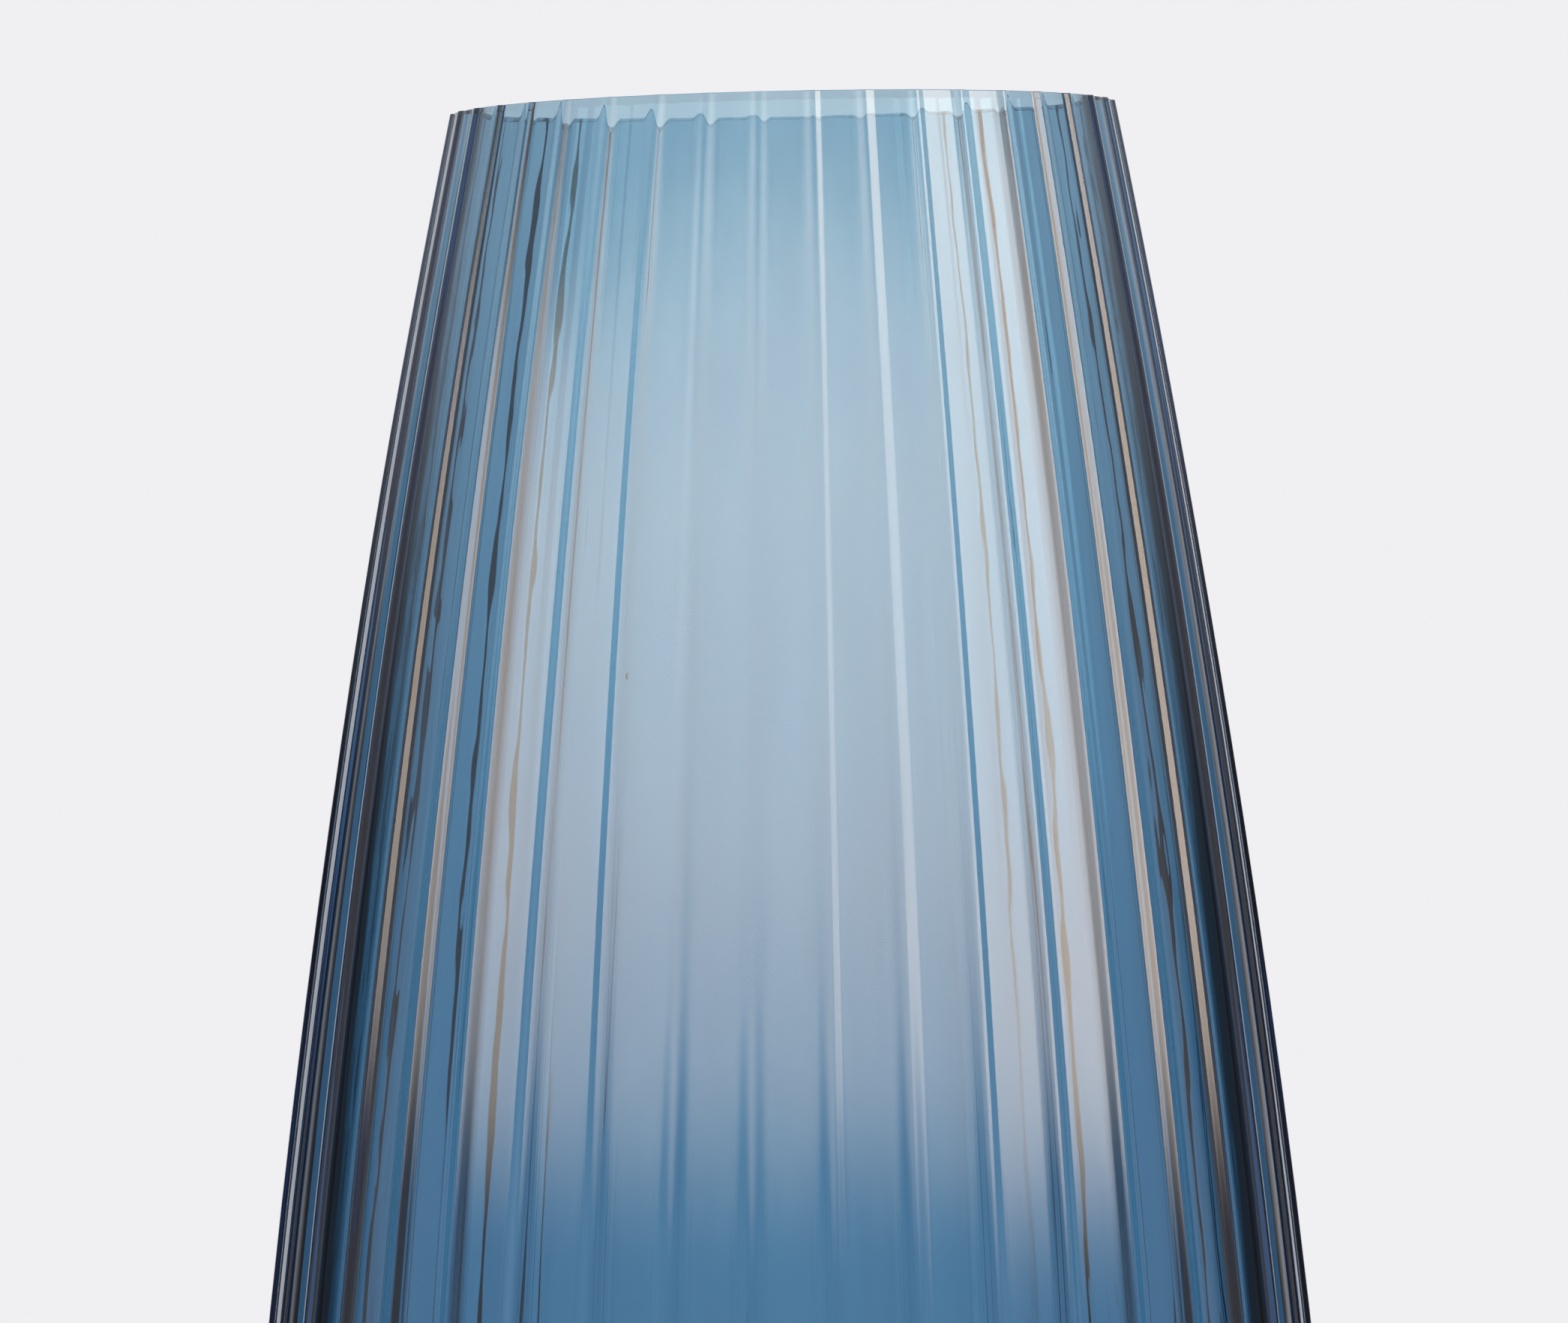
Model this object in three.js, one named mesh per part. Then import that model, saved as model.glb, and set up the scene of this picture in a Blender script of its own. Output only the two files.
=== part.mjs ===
// A mouth-blown bud vase in tinted glass: tall, widest just above its heel and narrowing to an open mouth,
// with narrow upright ribs that stand a little proud of the wall all the way round.
// The real vase is one piece of glass. It is held here as the three regions that a glassmaker works one
// after another, and they meet face to face: the thick base, the ribbed wall and the ground lip.
// Millimetres, +Z up. The origin is the centre of the standing ring, on the surface the vase stands on,
// and the front of the vase looks along -Y.

import * as THREE from "three";

// ---- Driving dimensions ----------------------------------------------------------------------

const HEIGHT = 180; // standing ring to the top of the lip
const MOUTH_RADIUS = 21.2; // outside of the glass at the lip
const BELLY_RADIUS = 38.2; // outside of the glass at its widest
const BELLY_HEIGHT = 13; // height of the widest place

const LIP_WALL = 2.0; // thickness of the glass at the lip
const BELLY_WALL = 4.6; // thickness of the glass at the belly
const LIP_EDGE = 0.2; // the softened edges on both sides of the lip's flat top
const LIP_HEIGHT = 3; // height of the band that is ground flat and polished
const BASE_THICKNESS = 11.5; // solid glass under the inside floor
const INNER_HEEL = 6; // height of the round between the inside floor and the inner wall
const FLOOR_RADIUS = 18; // flat middle of the inside floor

const STANDING_RADIUS = 27; // outer edge of the ground flat standing ring
const PUNT_RADIUS = 19; // inner edge of that ring, where the shallow hollow underneath starts
const PUNT_DEPTH = 2.2; // depth of that hollow
const PONTIL_RADIUS = 8; // flat polished disc in the middle of the hollow

const RIB_COUNT = 40;
const RIB_RISE = 0.22; // how far the ribs stand proud of the wall at the mouth; they rise with the girth
const RIB_SHARPNESS = 3; // 1 is a rib with straight flanks; higher is a narrower one with softer feet
const RIB_TURN = 5; // degrees from the front to the crown of the first rib
const RIB_HEEL_FADE = 9; // the ribs melt into the heel over this height

// ---- Fineness of the mesh --------------------------------------------------------------------

const SEGMENTS_PER_RIB = 4; // even, so that a line runs up each crown and one midway between two
const OUTER_STEPS = 9; // up the outside of the wall
const INNER_STEPS = 6; // down the inside of the wall
const ROUND_STEPS = 4; // round the inner heel, the outer heel and the punt

// ---- The shape of the glass ------------------------------------------------------------------

const LIP_SEAM = HEIGHT - LIP_HEIGHT;
const SEGMENTS = RIB_COUNT * SEGMENTS_PER_RIB;
const FIRST_CROWN = THREE.MathUtils.degToRad(RIB_TURN);

// A point of an outline. A ribbed one lies on the outside, where the ribs stand.
const smooth = (radius, height) => ({ radius, height, isRibbed: false });
const ribbed = (radius, height) => ({ radius, height, isRibbed: true });

// Share of the way from the belly up to the lip, from 0 to 1.
function climb(height) {
  return THREE.MathUtils.clamp((height - BELLY_HEIGHT) / (HEIGHT - BELLY_HEIGHT), 0, 1);
}

// Outside radius: a quarter ellipse from the standing ring to the belly, then a parabola up to the mouth.
function outerRadius(height) {
  if (height < BELLY_HEIGHT) {
    const drop = 1 - height / BELLY_HEIGHT;
    return STANDING_RADIUS + (BELLY_RADIUS - STANDING_RADIUS) * Math.sqrt(1 - drop * drop);
  }
  return BELLY_RADIUS - (BELLY_RADIUS - MOUTH_RADIUS) * climb(height) ** 2;
}

// Inside radius of the wall, which is thickest at the belly and thins with the girth up to the lip.
function innerRadius(height) {
  return outerRadius(height) - THREE.MathUtils.lerp(BELLY_WALL, LIP_WALL, climb(height) ** 2);
}

// How deep the surface lies under the crowns of the ribs, at an angle in radians and a height.
function depthUnderCrowns(angle, height) {
  const ribs = ((angle - FIRST_CROWN) / (2 * Math.PI)) * RIB_COUNT;
  const across = 2 * Math.abs(ribs - Math.round(ribs)); // 0 on a crown and 1 midway between two
  const fromFoot = THREE.MathUtils.smoothstep(height, 0, RIB_HEEL_FADE);
  const girth = outerRadius(height) / MOUTH_RADIUS;
  return RIB_RISE * girth * fromFoot * (1 - (1 - across) ** RIB_SHARPNESS);
}

// Points of an outline at even steps of a parameter that runs from 0 to 1.
function stretch(steps, place) {
  return Array.from({ length: steps + 1 }, (_, step) => place(step / steps));
}

// Turns an outline about the upright axis and sinks its ribbed points between the crowns.
// The outline runs up the outside of the glass and down the inside.
function turnGlass(outline) {
  const points = outline.map(({ radius, height }) => new THREE.Vector2(radius, height));
  const geometry = new THREE.LatheGeometry(points, SEGMENTS, FIRST_CROWN);
  const position = geometry.getAttribute("position");
  for (let i = 0; i < position.count; i++) {
    const { radius, height, isRibbed } = outline[i % outline.length];
    if (!isRibbed) continue;
    const angle = Math.atan2(position.getX(i), position.getZ(i));
    const sunk = 1 - depthUnderCrowns(angle, height) / radius;
    position.setX(i, position.getX(i) * sunk);
    position.setZ(i, position.getZ(i) * sunk);
  }
  geometry.rotateX(Math.PI / 2); // the lathe turns about Y, and the vase stands on Z
  geometry.computeVertexNormals();
  return geometry;
}

// ---- The three regions -----------------------------------------------------------------------

// The solid foot: flat on top, where it is the inside floor, and hollowed a little underneath.
function baseGeometry() {
  const punt = stretch(ROUND_STEPS, (t) =>
    smooth(THREE.MathUtils.lerp(PONTIL_RADIUS, PUNT_RADIUS, t), PUNT_DEPTH * Math.cos((t * Math.PI) / 2)),
  );
  const heel = stretch(ROUND_STEPS, (t) => {
    const height = BASE_THICKNESS * t * t; // finer steps low down, where the heel curves most
    return ribbed(outerRadius(height), height);
  });
  return turnGlass([smooth(0, PUNT_DEPTH), ...punt, ...heel, smooth(0, BASE_THICKNESS)]);
}

// The blown wall, from the inside floor up to the lip, with the round of the inner heel.
function wallGeometry() {
  const innerHeelTop = BASE_THICKNESS + INNER_HEEL;
  const outside = stretch(OUTER_STEPS, (t) => {
    const height = THREE.MathUtils.lerp(BASE_THICKNESS, LIP_SEAM, t);
    return ribbed(outerRadius(height), height);
  });
  const inside = stretch(INNER_STEPS, (t) => {
    const height = THREE.MathUtils.lerp(LIP_SEAM, innerHeelTop, t);
    return smooth(innerRadius(height), height);
  });
  const innerHeel = stretch(ROUND_STEPS, (t) => {
    const angle = (t * Math.PI) / 2;
    const reach = innerRadius(innerHeelTop) - FLOOR_RADIUS;
    return smooth(FLOOR_RADIUS + reach * Math.cos(angle), innerHeelTop - INNER_HEEL * Math.sin(angle));
  });
  return turnGlass([...outside, ...inside, ...innerHeel.slice(1), outside[0]]);
}

// The lip: a short stretch of the ribbed wall, ground flat on top with softened edges.
function lipGeometry() {
  const outerFoot = ribbed(outerRadius(LIP_SEAM), LIP_SEAM);
  return turnGlass([
    outerFoot,
    ribbed(outerRadius(HEIGHT - LIP_EDGE), HEIGHT - LIP_EDGE),
    ribbed(outerRadius(HEIGHT) - LIP_EDGE, HEIGHT),
    smooth(innerRadius(HEIGHT) + LIP_EDGE, HEIGHT),
    smooth(innerRadius(HEIGHT - LIP_EDGE), HEIGHT - LIP_EDGE),
    smooth(innerRadius(LIP_SEAM), LIP_SEAM),
    outerFoot,
  ]);
}

// ---- The object ------------------------------------------------------------------------------

// Steel-blue glass, which looks deeper where there is more of it.
function tintedGlass(opacity) {
  return new THREE.MeshStandardMaterial({
    color: 0x6f9dbb,
    roughness: 0.03,
    metalness: 0,
    transparent: true,
    opacity,
  });
}

function region(name, geometry, material) {
  const mesh = new THREE.Mesh(geometry, material);
  mesh.name = name;
  return mesh;
}

const vase = new THREE.Group();
vase.add(region("thick_base", baseGeometry(), tintedGlass(0.6)));
vase.add(region("ribbed_wall", wallGeometry(), tintedGlass(0.4)));
vase.add(region("ground_lip", lipGeometry(), tintedGlass(0.35)));

export default vase;
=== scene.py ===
# %% [markdown]
# # A ribbed bud vase in tinted glass
#
# The vase is one piece of mouth-blown glass. It is tall, widest just above its heel, and it narrows to an
# open mouth. Narrow upright ribs stand a little proud of it all the way round, and their flanks bend the
# light into bright and dark lines. Nearly everything that the eye reads on a vase like this is refraction,
# so the lesson is about three things: a wall of true thickness, a tint that deepens with the glass that
# light passes through, and a studio for the glass to show.

# %% The frame
import math

import bmesh
import bpy
from mathutils import Matrix, Vector, noise


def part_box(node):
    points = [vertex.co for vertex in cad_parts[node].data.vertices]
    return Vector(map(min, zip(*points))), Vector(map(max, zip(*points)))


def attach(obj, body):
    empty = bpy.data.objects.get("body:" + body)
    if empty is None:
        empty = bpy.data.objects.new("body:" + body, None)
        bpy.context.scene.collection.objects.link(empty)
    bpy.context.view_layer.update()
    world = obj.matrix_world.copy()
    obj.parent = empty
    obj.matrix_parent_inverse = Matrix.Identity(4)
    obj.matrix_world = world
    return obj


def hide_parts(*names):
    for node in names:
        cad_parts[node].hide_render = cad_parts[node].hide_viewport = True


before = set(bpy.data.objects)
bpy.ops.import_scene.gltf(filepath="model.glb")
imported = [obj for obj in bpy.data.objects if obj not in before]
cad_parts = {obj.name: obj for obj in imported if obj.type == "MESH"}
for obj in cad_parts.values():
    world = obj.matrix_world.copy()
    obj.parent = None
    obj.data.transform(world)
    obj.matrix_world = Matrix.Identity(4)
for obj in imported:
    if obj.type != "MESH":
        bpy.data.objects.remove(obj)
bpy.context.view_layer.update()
base_low, base_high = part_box("thick_base")
wall_low, wall_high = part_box("ribbed_wall")
lip_low, lip_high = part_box("ground_lip")
MM = 0.001

# %% [markdown]
# ## The measures of the glass
#
# The height of the lip, the height of the inside floor and the girth of the belly come from the frame, so
# the finished glass always fills the place that the CAD regions hold. The rest are the glassmaker's own
# numbers: how thick the wall is, and how the heel, the inside floor and the hollow underneath are rounded.

# %% Measures
height = lip_high.z
floor_height = base_high.z
belly_radius = (wall_high.x - wall_low.x) / 2
belly_height = 13 * MM
mouth_radius = 21.2 * MM
lip_wall = 2.0 * MM
belly_wall = 4.6 * MM
inner_heel = 6 * MM
floor_radius = 18 * MM
standing_radius = 27 * MM
punt_radius = 19 * MM
punt_depth = 2.2 * MM
pontil_radius = 8 * MM

lip_edge = 0.04 * MM
lip_bead = 0.10 * MM
bead_height = 8 * MM
print("height", round(height / MM, 1), "mm, mouth", round(2 * mouth_radius / MM, 1), "mm across")


def climb(z):
    """Share of the way from the belly up to the lip, from 0 to 1."""
    return min(max((z - belly_height) / (height - belly_height), 0), 1)


def outer_radius(z):
    """A quarter ellipse from the standing ring to the belly, then a parabola up to the mouth."""
    if z < belly_height:
        drop = 1 - z / belly_height
        return standing_radius + (belly_radius - standing_radius) * math.sqrt(1 - drop * drop)
    return belly_radius - (belly_radius - mouth_radius) * climb(z) ** 2


def inner_radius(z):
    """The wall thins with the girth from the belly to the lip, where polishing leaves it a hair thicker."""
    bead = lip_bead * max(0, 1 - (height - z) / bead_height)
    return outer_radius(z) - (belly_wall + (lip_wall - belly_wall) * climb(z) ** 2) - bead


# %% [markdown]
# ## The outline
#
# The outline is one closed line round the section of the glass, so that the wall has a true inside and
# outside. It could be built up from thickened sheets, but refraction needs both surfaces exactly where they
# are. The rings crowd towards the lip, where the eye looks through the most detail.

# %% Outline
OUTER_RINGS = 36
INNER_RINGS = 24
RING_CROWDING = 2.4
ROUND_RINGS = 10
EDGE_RINGS = 4


def steps(count, first=0):
    """Even steps of a share from 0 to 1."""
    return [i / count for i in range(first, count + 1)]


def glass_outline():
    """(radius, height) points up the outside, over the lip and down the inside, from axis to axis."""
    quarter = math.pi / 2
    punt = [
        (pontil_radius + (punt_radius - pontil_radius) * t, punt_depth * math.cos(t * quarter))
        for t in steps(ROUND_RINGS)
    ]
    heel = [(outer_radius(belly_height * t * t), belly_height * t * t) for t in steps(ROUND_RINGS)]
    outside = []
    edge_foot = height - lip_edge
    for t in steps(OUTER_RINGS, 1):
        z = belly_height + (edge_foot - belly_height) * (1 - (1 - t) ** RING_CROWDING)
        outside.append((outer_radius(z), z))
    outer_edge = [
        (
            outer_radius(edge_foot) - lip_edge * (1 - math.cos(t * quarter)),
            edge_foot + lip_edge * math.sin(t * quarter),
        )
        for t in steps(EDGE_RINGS, 1)
    ]
    inner_edge = [
        (
            inner_radius(edge_foot) + lip_edge * (1 - math.sin(t * quarter)),
            edge_foot + lip_edge * math.cos(t * quarter),
        )
        for t in steps(EDGE_RINGS)
    ]
    heel_top = floor_height + inner_heel
    inside = []
    for t in steps(INNER_RINGS, 1):
        z = edge_foot + (heel_top - edge_foot) * t**RING_CROWDING
        inside.append((inner_radius(z), z))
    reach = inner_radius(heel_top) - floor_radius
    inner_round = [
        (floor_radius + reach * math.cos(t * quarter), heel_top - inner_heel * math.sin(t * quarter))
        for t in steps(ROUND_RINGS, 1)
    ]
    outer = [*heel, *outside, *outer_edge]
    inner = [*inner_edge, *inside, *inner_round]
    return [(0, punt_depth), *punt, *outer, *inner, (0, floor_height)]


outline = glass_outline()
print("outline points:", len(outline))

# %% [markdown]
# ## Raising the ribs
#
# A gather of hot glass is blown into a mould with narrow grooves. The glass swells into each groove as a
# rib, and between two ribs it lies almost flat. The ribs reach right up to the lip, because the lip was cut
# through them when the glass was cold. They fade only at the heel, which was worked smooth. The mesh
# carries the ribs as real shape and not as bump, because the bending of light in each rib depends on its
# true slope.
#
# The outline is turned about the upright axis with the spin operator. Each vertex is then moved a little
# round the axis, so that the upright lines of the mesh crowd where the surface turns fastest, and sunk
# between the crowns.

# %% Ribs
RIB_COUNT = 40
SEGMENTS_PER_RIB = 20
FIRST_CROWN = math.radians(5)
ON_AXIS = 1e-6
RIB_RISE = 0.21 * MM  # at the mouth; the ribs rise with the girth
RIB_SHARE = 0.42  # how much of the way from one crown to the next the two flanks take up
HEEL_FADE = 9 * MM
LINE_CROWDING = 0.45
HAND_RISE = 0.22  # how much higher or lower a rib may stand, as a share of its rise
HAND_DRIFT = 0.05  # how far a rib may wander sideways, in ribs
HAND_LENGTH = 60 * MM  # the height over which that unevenness comes and goes
OUTSIDE_MARGIN = 1.2 * lip_edge  # vertices this close to the outside move with the ribs
pitch = 2 * math.pi * mouth_radius / RIB_COUNT
print("ribs:", RIB_COUNT, "spaced", round(pitch / MM, 1), "mm apart at the mouth")


def ramp(value, low, high):
    """A soft step from 0 at low to 1 at high."""
    t = min(max((value - low) / (high - low), 0), 1)
    return t * t * (3 - 2 * t)


def hand(rib, z, seed):
    """The small unevenness of handwork along one rib, from -1 to 1, the same on every run."""
    return noise.noise(Vector((1.7 * (rib % RIB_COUNT), z / HAND_LENGTH, seed)))


def depth_under_crowns(turn, z):
    """How far the surface lies under the highest crowns: turn is counted in ribs from a crown."""
    rib = round(turn)
    across = 2 * abs(turn + HAND_DRIFT * hand(rib, z, 4.3) - rib)  # 0 on a crown and 1 midway between two
    rise = (1 + HAND_RISE * hand(rib, z, 9.1)) * ramp(1 - across, 1 - RIB_SHARE, 1)
    return RIB_RISE * outer_radius(z) / mouth_radius * ramp(z, 0, HEEL_FADE) * (1 + HAND_RISE - rise)


def spin_outline(bm, points, count):
    """Turns an outline about the upright axis with the spin operator, and closes its poles."""
    verts = [bm.verts.new((r, 0, z)) for r, z in points]
    edges = [bm.edges.new(pair) for pair in zip(verts, verts[1:])]
    bmesh.ops.spin(
        bm, geom=verts + edges, cent=(0, 0, 0), axis=(0, 0, 1), angle=2 * math.pi, steps=count, use_merge=True
    )
    bmesh.ops.remove_doubles(bm, verts=bm.verts, dist=1e-7)


def raise_ribs(bm):
    """Crowds the upright lines of the mesh towards the ribs, then sinks the surface between them."""
    for v in bm.verts:
        radius = math.hypot(v.co.x, v.co.y)
        if radius < ON_AXIS:
            continue
        turn = (math.atan2(v.co.y, v.co.x) + math.pi / 2 - FIRST_CROWN) / (2 * math.pi) * RIB_COUNT
        turn -= LINE_CROWDING * math.sin(2 * math.pi * turn) / (2 * math.pi)
        angle = turn / RIB_COUNT * 2 * math.pi + FIRST_CROWN - math.pi / 2
        if radius > outer_radius(v.co.z) - OUTSIDE_MARGIN:
            radius -= depth_under_crowns(turn, v.co.z)
        v.co.x = radius * math.cos(angle)
        v.co.y = radius * math.sin(angle)


# %% [markdown]
# The lip was cracked off a hair out of true, so its left side stands lower than its right side. Only the
# top of the wall is tipped, and the highest point stays where it was.

# %% The lip out of true
LIP_SLOPE = math.radians(0.92)
LIP_SLOPE_FADE = 30 * MM
lip_fall = 2 * mouth_radius * math.tan(LIP_SLOPE)
print("the lip falls", round(lip_fall / MM, 2), "mm from its right side to its left")


def tip_lip(bm):
    """Lowers the top of the wall in proportion to how far it lies from the highest point of the lip."""
    for v in bm.verts:
        share = ramp(v.co.z, height - LIP_SLOPE_FADE, height)
        v.co.z -= share * math.tan(LIP_SLOPE) * (mouth_radius - v.co.x)


# %% [markdown]
# ## Seeds
#
# Mouth-blown glass keeps a few tiny bubbles, which glassmakers call seeds. Each is a small closed hollow in
# the middle of the wall, drawn out upright because the wall was stretched while it was soft. Its faces look
# into the hollow, which is away from the glass, so light leaves the glass there as it does at any other
# surface.

# %% Seeds
SEED_RADIUS = 0.16 * MM
SEED_SIZES = (0.8, 1.0, 0.6)  # in turn, as shares of the radius
SEED_PULL = 1.7
# Each seed's place: degrees round from the front, and height in mm.
SEEDS = [(-22, 143), (64, 58), (151, 96), (-118, 71), (-71, 34), (19, 27)]


def blow_seeds(bm):
    """Adds the seeds, each a sphere drawn out upright with its faces turned inwards."""
    for k, (degrees, level) in enumerate(SEEDS):
        z = level * MM
        radius = (outer_radius(z) + inner_radius(z)) / 2
        angle = math.radians(degrees - 90)
        size = SEED_RADIUS * SEED_SIZES[k % len(SEED_SIZES)]
        place = Matrix.Translation((radius * math.cos(angle), radius * math.sin(angle), z))
        place = place @ Matrix.Diagonal((1, 1, SEED_PULL, 1))
        ball = bmesh.ops.create_uvsphere(bm, u_segments=16, v_segments=10, radius=size, matrix=place)
        faces = list({f for v in ball["verts"] for f in v.link_faces})
        bmesh.ops.reverse_faces(bm, faces=faces)


# %% [markdown]
# ## One piece of glass
#
# The outline is turned, ribbed and tipped, and the seeds are blown in last. The whole vase is one mesh,
# because the real one is one piece and an inner face between two pieces would show through the glass as a
# bright ring.

# %% The glass
bm = bmesh.new()
spin_outline(bm, outline, RIB_COUNT * SEGMENTS_PER_RIB)
raise_ribs(bm)
tip_lip(bm)
bmesh.ops.recalc_face_normals(bm, faces=bm.faces)
blow_seeds(bm)
mesh = bpy.data.meshes.new("vase_glass")
bm.to_mesh(mesh)
bm.free()
mesh.shade_smooth()
vase = bpy.data.objects.new("vase_glass", mesh)
bpy.context.scene.collection.objects.link(vase)
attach(vase, "root")
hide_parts("thick_base", "ribbed_wall", "ground_lip")
print("faces:", len(mesh.polygons))

# %% [markdown]
# ## Tinted glass
#
# The colour isn't painted on. The glass absorbs red more than green, and green more than blue, for each
# millimetre that the light travels, so one wall looks pale, two walls look deeper, and the thick base looks
# deepest. On top of that come the marks of the making, each at its own size:
#
# - draw lines, faint upright waves of the surface from the stretching of the wall;
# - a slow wander of the surface a centimetre across, as free-blown glass has inside;
# - upright streaks of a slightly deeper tint, and dark upright flecks low down, where the tint is darkened;
# - a standing ring and a rim of the lip ground to a satin, and the faintest handling haze on the rest.

# %% Glass material
glass = bpy.data.materials.new("tinted_glass")
glass.use_nodes = True
gn, gl = glass.node_tree.nodes, glass.node_tree.links
shader = gn["Principled BSDF"]
shader.inputs["IOR"].default_value = 1.5
shader.inputs["Transmission Weight"].default_value = 1.0
absorb = gn.new("ShaderNodeVolumeAbsorption")
absorb.inputs["Color"].default_value = (0.093, 0.5, 0.685, 1)
absorb.inputs["Density"].default_value = 450.0
gl.new(absorb.outputs["Volume"], gn["Material Output"].inputs["Volume"])
place = gn.new("ShaderNodeTexCoord").outputs["Object"]


def glass_noise(size, pull, detail):
    """Noise with features of a given size across, drawn out upright by a given number of times."""
    stretch = gn.new("ShaderNodeMapping")
    stretch.inputs["Scale"].default_value = (1, 1, 1 / pull)
    gl.new(place, stretch.inputs["Vector"])
    texture = gn.new("ShaderNodeTexNoise")
    texture.inputs["Scale"].default_value = 1 / size
    texture.inputs["Detail"].default_value = detail
    gl.new(stretch.outputs[0], texture.inputs["Vector"])
    return texture.outputs["Fac"]


def glass_range(value, low, high, new_low, new_high):
    """Carries a value smoothly from one range to another, and holds it at the ends."""
    node = gn.new("ShaderNodeMapRange")
    node.interpolation_type = "SMOOTHSTEP"
    gl.new(value, node.inputs["Value"])
    for name, number in zip(("From Min", "From Max", "To Min", "To Max"), (low, high, new_low, new_high)):
        node.inputs[name].default_value = number
    return node.outputs["Result"]


def glass_math(operation, first, second):
    """A Math node of the glass with two inputs."""
    node = gn.new("ShaderNodeMath")
    node.operation = operation
    for socket, value in zip(node.inputs, (first, second)):
        if isinstance(value, (int, float)):
            socket.default_value = value
        else:
            gl.new(value, socket)
    return node.outputs[0]


def glass_mix(factor, first, second):
    """Mixes two colours by a mask; the first may come from another node."""
    node = gn.new("ShaderNodeMix")
    node.data_type = "RGBA"
    gl.new(factor, node.inputs["Factor"])
    if isinstance(first, tuple):
        node.inputs["A"].default_value = (*first, 1)
    else:
        gl.new(first, node.inputs["A"])
    node.inputs["B"].default_value = (*second, 1)
    return node.outputs["Result"]


# %% [markdown]
# The surface of the glass takes its relief from the draw lines and the wander. It is bump and not shape,
# because it is only a few hundredths of a millimetre deep.

# %% Draw lines and wander
draw_lines = glass_noise(size=2.2 * MM, pull=40, detail=2)
wander = glass_noise(size=12 * MM, pull=3, detail=1)
relief = glass_math("ADD", glass_math("MULTIPLY", draw_lines, 0.25), wander)
bump = gn.new("ShaderNodeBump")
bump.inputs["Strength"].default_value = 1.0
bump.inputs["Distance"].default_value = 0.05 * MM
gl.new(relief, bump.inputs["Height"])
gl.new(bump.outputs[0], shader.inputs["Normal"])
print("relief:", round(bump.inputs["Distance"].default_value / MM, 3), "mm at most")

# %% [markdown]
# The tint varies only a little. Streaks run the full height, and dark upright flecks darken it low down.

# %% Streaks and dark flecks
split_place = gn.new("ShaderNodeSeparateXYZ")
gl.new(place, split_place.inputs[0])
across, level = split_place.outputs["X"], split_place.outputs["Z"]
streaks = glass_range(glass_noise(size=3.4 * MM, pull=50, detail=2), 0.42, 0.62, 0, 1)
tint = glass_mix(streaks, (1, 1, 1), (0.93, 0.945, 0.96))
# Dark upright flecks: the tint is darkened in small upright noise spots, fading in from the top height down
# to the full height.
FLECK_TOP = 125 * MM
FLECK_FULL = 70 * MM
low_down = glass_range(level, FLECK_TOP, FLECK_FULL, 0, 1)
dark_flecks = glass_range(glass_noise(size=1.1 * MM, pull=9, detail=3), 0.71, 0.76, 0, 1)
tint = glass_mix(glass_math("MULTIPLY", dark_flecks, low_down), tint, (0.25, 0.28, 0.33))
gl.new(tint, shader.inputs["Base Color"])
print("streaks all the way up, cords below", round(FLECK_TOP / MM), "mm")

# %% [markdown]
# Two places keep a satin from the grinding: the standing ring, and the flat of the lip. The flat of the lip
# is found by a height that follows the tipped lip.

# %% Satin rims and haze
RING_SATIN = 0.34
RIM_SATIN = 0.3
HAZE = 0.02
standing_satin = glass_range(level, 0.35 * MM, 0.15 * MM, 0, RING_SATIN)
true_level = glass_math("SUBTRACT", level, glass_math("MULTIPLY", across, math.tan(LIP_SLOPE)))
rim = height - math.tan(LIP_SLOPE) * mouth_radius
rim_satin = glass_range(true_level, rim - 1.6 * lip_edge, rim - lip_edge, 0, RIM_SATIN)
haze = glass_range(glass_noise(size=9 * MM, pull=1, detail=3), 0.5, 0.8, 0, HAZE)
roughness = glass_math("ADD", glass_math("MAXIMUM", standing_satin, rim_satin), haze)
gl.new(roughness, shader.inputs["Roughness"])
mesh.materials.append(glass)
print("roughness: ring", RING_SATIN, "rim", RIM_SATIN, "elsewhere up to", HAZE)

# %% [markdown]
# ## A studio for glass
#
# Clear glass shows only what stands around it, so it is lit with broad soft panels and not with lamps. The
# studio is painted on the world by two angles: the side that a ray looks to, and its rise above the level.
# All round is pale card, with a dimmer ceiling. A long soft strip hangs above eye level in front, brightest
# along its middle, and sags towards its ends, so the leaning wall mirrors it as a pale veil between two
# level lines. Another strip hangs behind, and a brighter softbox stands at the right. A black flag stands
# behind at each side, and a rib that bends the light far enough to reach it shows as a dark line. The
# camera itself sees plain pale card, so that the background stays quiet.

# %% Studio
scene = bpy.context.scene
scene.view_settings.view_transform = "Standard"
scene.cycles.max_bounces = 32
scene.cycles.transmission_bounces = 32
scene.cycles.glossy_bounces = 16
world = bpy.data.worlds.new("studio")
scene.world = world
world.use_nodes = True
wn, wl = world.node_tree.nodes, world.node_tree.links
PALE = (0.871, 0.863, 0.888)


def math_node(operation, *values):
    """A Math node of the studio whose inputs are numbers or other nodes' outputs."""
    node = wn.new("ShaderNodeMath")
    node.operation = operation
    for socket, value in zip(node.inputs, values):
        if isinstance(value, (int, float)):
            socket.default_value = value
        else:
            wl.new(value, socket)
    return node.outputs[0]


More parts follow.
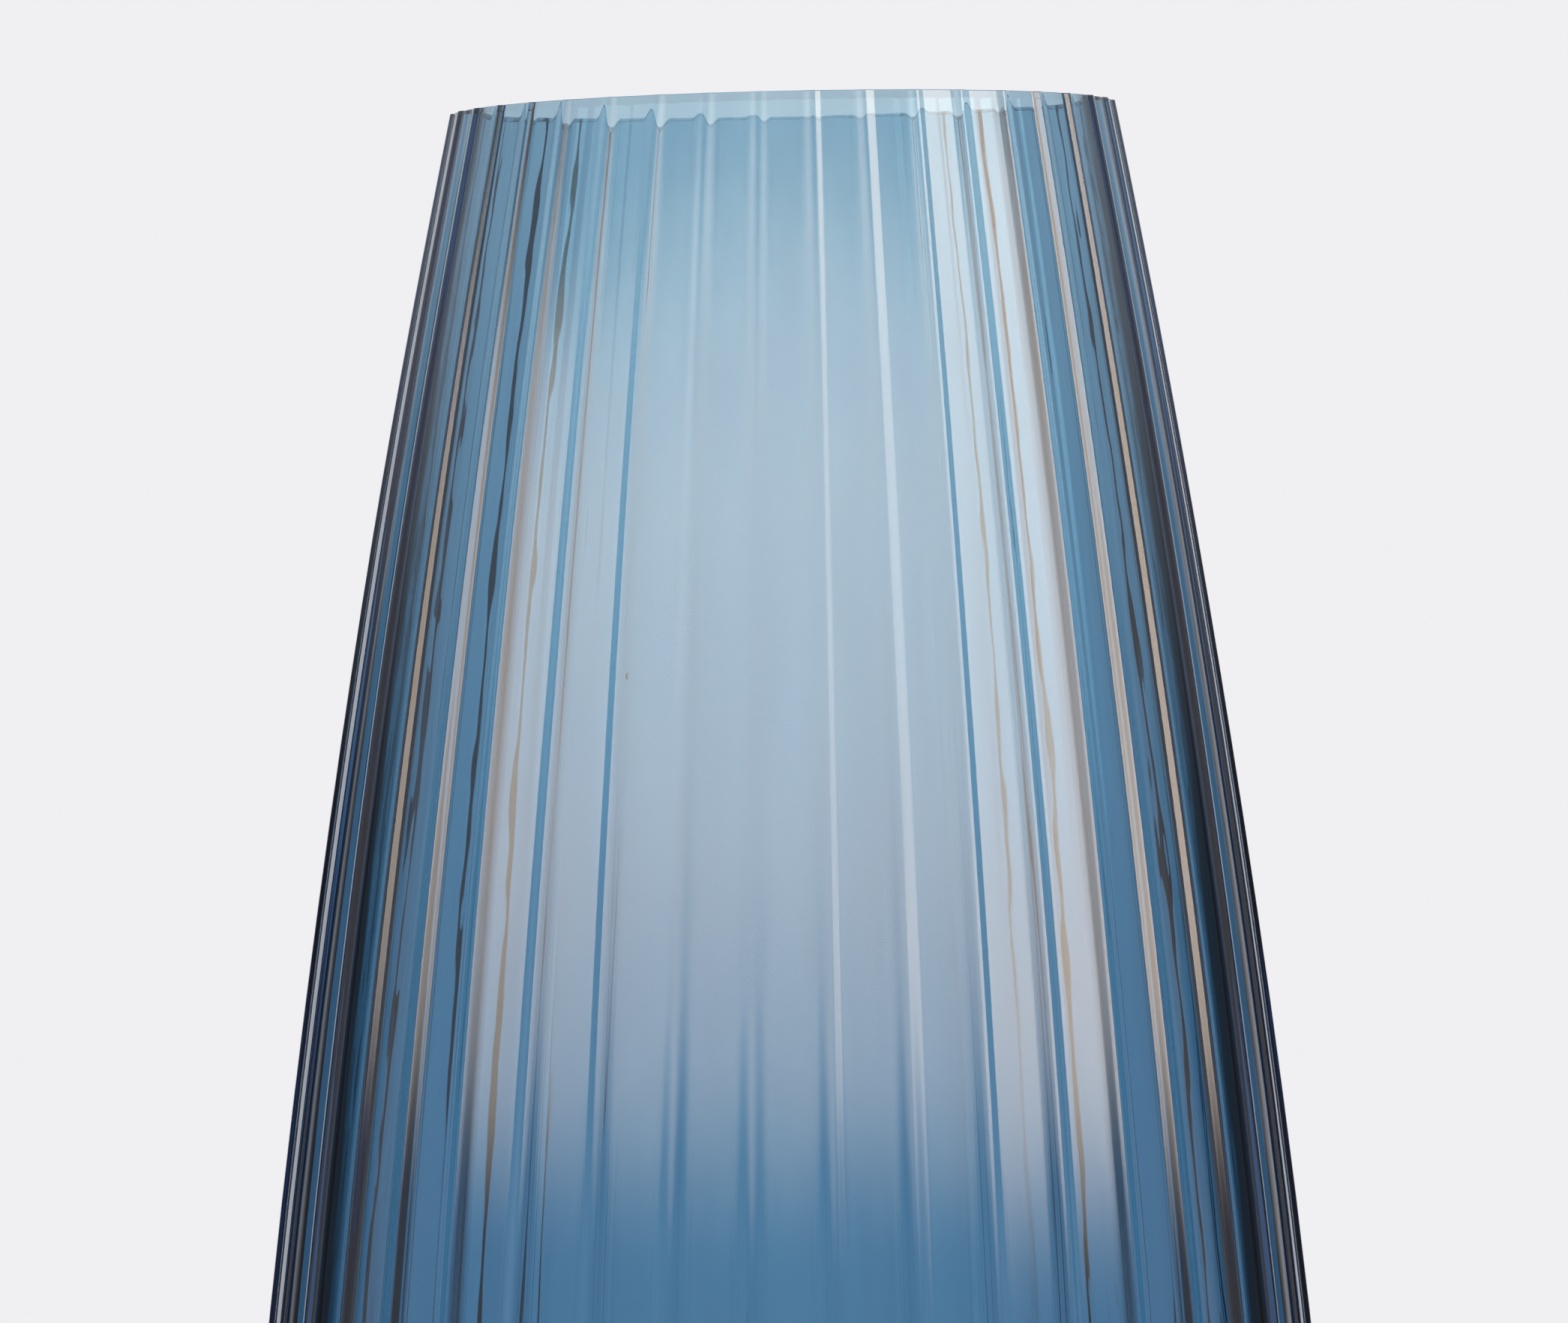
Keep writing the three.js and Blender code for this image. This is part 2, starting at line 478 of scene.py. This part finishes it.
direction = wn.new("ShaderNodeTexCoord").outputs["Generated"]
split = wn.new("ShaderNodeSeparateXYZ")
wl.new(direction, split.inputs[0])
turned = math_node("ARCTAN2", split.outputs["X"], math_node("MULTIPLY", split.outputs["Y"], -1.0))
side = math_node("MULTIPLY", turned, 180 / math.pi)
rise = math_node("MULTIPLY", math_node("ARCSINE", split.outputs["Z"]), 180 / math.pi)
front_sag = math_node("COSINE", math_node("MULTIPLY", turned, 0.5))
back_sag = math_node("MULTIPLY", math_node("COSINE", turned), -1.0)
sag = math_node("MAXIMUM", front_sag, back_sag)
strip_rise = math_node("ARCSINE", math_node("MINIMUM", math_node("DIVIDE", split.outputs["Z"], sag), 1.0))
strip_rise = math_node("MULTIPLY", strip_rise, 180 / math.pi)


def window(value, low, high, soft):
    """1 where an angle in degrees lies between low and high, and 0 outside, with soft edges."""
    away = math_node("ABSOLUTE", math_node("SUBTRACT", value, (low + high) / 2))
    node = wn.new("ShaderNodeMapRange")
    node.interpolation_type = "SMOOTHSTEP"
    half = (high - low) / 2
    wl.new(away, node.inputs["Value"])
    node.inputs["From Min"].default_value = half + soft / 2
    node.inputs["From Max"].default_value = half - soft / 2
    return node.outputs["Result"]


def hang(room, sides, rises, soft, level, tint=(1, 1, 1), along=rise):
    """Hangs a panel of even light or shade in the studio, over what hangs there already."""
    mask = math_node("MULTIPLY", window(side, *sides, soft), window(along, *rises, soft))
    mix = wn.new("ShaderNodeMix")
    mix.data_type = "RGBA"
    wl.new(mask, mix.inputs["Factor"])
    if isinstance(room, tuple):
        mix.inputs["A"].default_value = (*room, 1)
    else:
        wl.new(room, mix.inputs["A"])
    mix.inputs["B"].default_value = (*[level * c for c in tint], 1)
    return mix.outputs["Result"]


WARM = (1, 0.84, 0.69)
WHITE = (1, 0.92, 0.82)
ALL_ROUND = (-400, 400)
FRONT = (-80, 84)
SOFTBOX = (49, 82)
room = hang(PALE, ALL_ROUND, (0.2, 120), 2.5, 0.87, PALE)
room = hang(room, ALL_ROUND, (38, 120), 16, 0.45)
for flag in ((112, 148), (-148, -112)):
    room = hang(room, flag, (-8, 10), 6, 0.08)
for back in ((-400, -142), (142, 400)):
    room = hang(room, back, (13.5, 23.5), 4, 3.6, WHITE, strip_rise)
room = hang(room, FRONT, (13.4, 24.4), 2.8, 4.1, WHITE, strip_rise)
room = hang(room, FRONT, (14.9, 23), 5, 7.0, WARM, strip_rise)
room = hang(room, SOFTBOX, (13.5, 28), 5, 9.5, WARM, strip_rise)
print("nodes in the studio so far:", len(wn))

seen = wn["Background"]
seen.inputs["Color"].default_value = (*PALE, 1)
lit = wn.new("ShaderNodeBackground")
wl.new(room, lit.inputs["Color"])
is_camera = wn.new("ShaderNodeLightPath").outputs["Is Camera Ray"]
both = wn.new("ShaderNodeMixShader")
wl.new(is_camera, both.inputs["Fac"])
wl.new(lit.outputs[0], both.inputs[1])
wl.new(seen.outputs[0], both.inputs[2])
wl.new(both.outputs[0], wn["World Output"].inputs["Surface"])

# %% [markdown]
# ## The floor
#
# The vase stands on a sheet of pale paper, which fades into the background so that no edge shows. The paper
# is a shade cooler than the card around it, to answer the warmth of the panels. Light that has passed
# through the glass looks past the paper to the card behind, as it would over the edge of a glass-topped
# table.

# %% Floor
PAPER_RADIUS = 1.6
FADE_FROM = 0.18 * PAPER_RADIUS
FADE_TO = 0.95 * PAPER_RADIUS
bm = bmesh.new()
bmesh.ops.create_circle(bm, cap_ends=True, radius=PAPER_RADIUS, segments=96)
floor_mesh = bpy.data.meshes.new("floor")
bm.to_mesh(floor_mesh)
bm.free()
floor = bpy.data.objects.new("floor", floor_mesh)
scene.collection.objects.link(floor)
floor.visible_transmission = False
floor.visible_glossy = False
paper = bpy.data.materials.new("pale_paper")
paper.use_nodes = True
pn, pl = paper.node_tree.nodes, paper.node_tree.links
paper_shader = pn["Principled BSDF"]
grain = pn.new("ShaderNodeTexNoise")
grain.inputs["Scale"].default_value = 900.0
grain_color = pn.new("ShaderNodeMix")
grain_color.data_type = "RGBA"
grain_color.inputs["A"].default_value = (0.79, 0.83, 0.9, 1)
grain_color.inputs["B"].default_value = (0.81, 0.85, 0.92, 1)
pl.new(grain.outputs["Fac"], grain_color.inputs["Factor"])
pl.new(grain_color.outputs["Result"], paper_shader.inputs["Base Color"])
paper_shader.inputs["Roughness"].default_value = 0.9
paper_place = pn.new("ShaderNodeTexCoord").outputs["Object"]
pl.new(paper_place, grain.inputs["Vector"])
reach = pn.new("ShaderNodeVectorMath")
reach.operation = "LENGTH"
pl.new(paper_place, reach.inputs[0])
fade = pn.new("ShaderNodeMapRange")
fade.interpolation_type = "SMOOTHSTEP"
fade.inputs["From Min"].default_value = FADE_FROM
fade.inputs["From Max"].default_value = FADE_TO
pl.new(reach.outputs["Value"], fade.inputs["Value"])
clear = pn.new("ShaderNodeBsdfTransparent")
faded = pn.new("ShaderNodeMixShader")
pl.new(fade.outputs["Result"], faded.inputs["Fac"])
pl.new(paper_shader.outputs[0], faded.inputs[1])
pl.new(clear.outputs[0], faded.inputs[2])
pl.new(faded.outputs[0], pn["Material Output"].inputs["Surface"])
floor_mesh.materials.append(paper)
print("paper:", 2 * PAPER_RADIUS, "m across, fading from", round(FADE_FROM, 2), "m out")

# %% [markdown]
# ## The camera
#
# The camera stands far away with a long lens, a little below the lip, so that the far edge of the mouth is
# seen through the near wall. It leans by a third of a degree, as a camera held by hand does.

# %% Camera
camera_data = bpy.data.cameras.new("camera")
camera = bpy.data.objects.new("camera", camera_data)
scene.collection.objects.link(camera)
scene.camera = camera
distance = 1.2
below_lip = math.radians(3.0)
look_at = Vector((-0.1 * MM, 0, 144.5 * MM))
lean = math.radians(0.33)
camera_data.sensor_width = 36
camera_data.lens = 434
camera.location = (0, -distance, height - distance * math.tan(below_lip))
aim = (look_at - camera.location).to_track_quat("-Z", "Y").to_matrix().to_4x4()
camera.matrix_world = Matrix.Translation(camera.location) @ aim @ Matrix.Rotation(-lean, 4, "Z")
camera_data.clip_end = 20
print("camera:", distance, "m away with a", round(camera_data.lens), "mm lens")
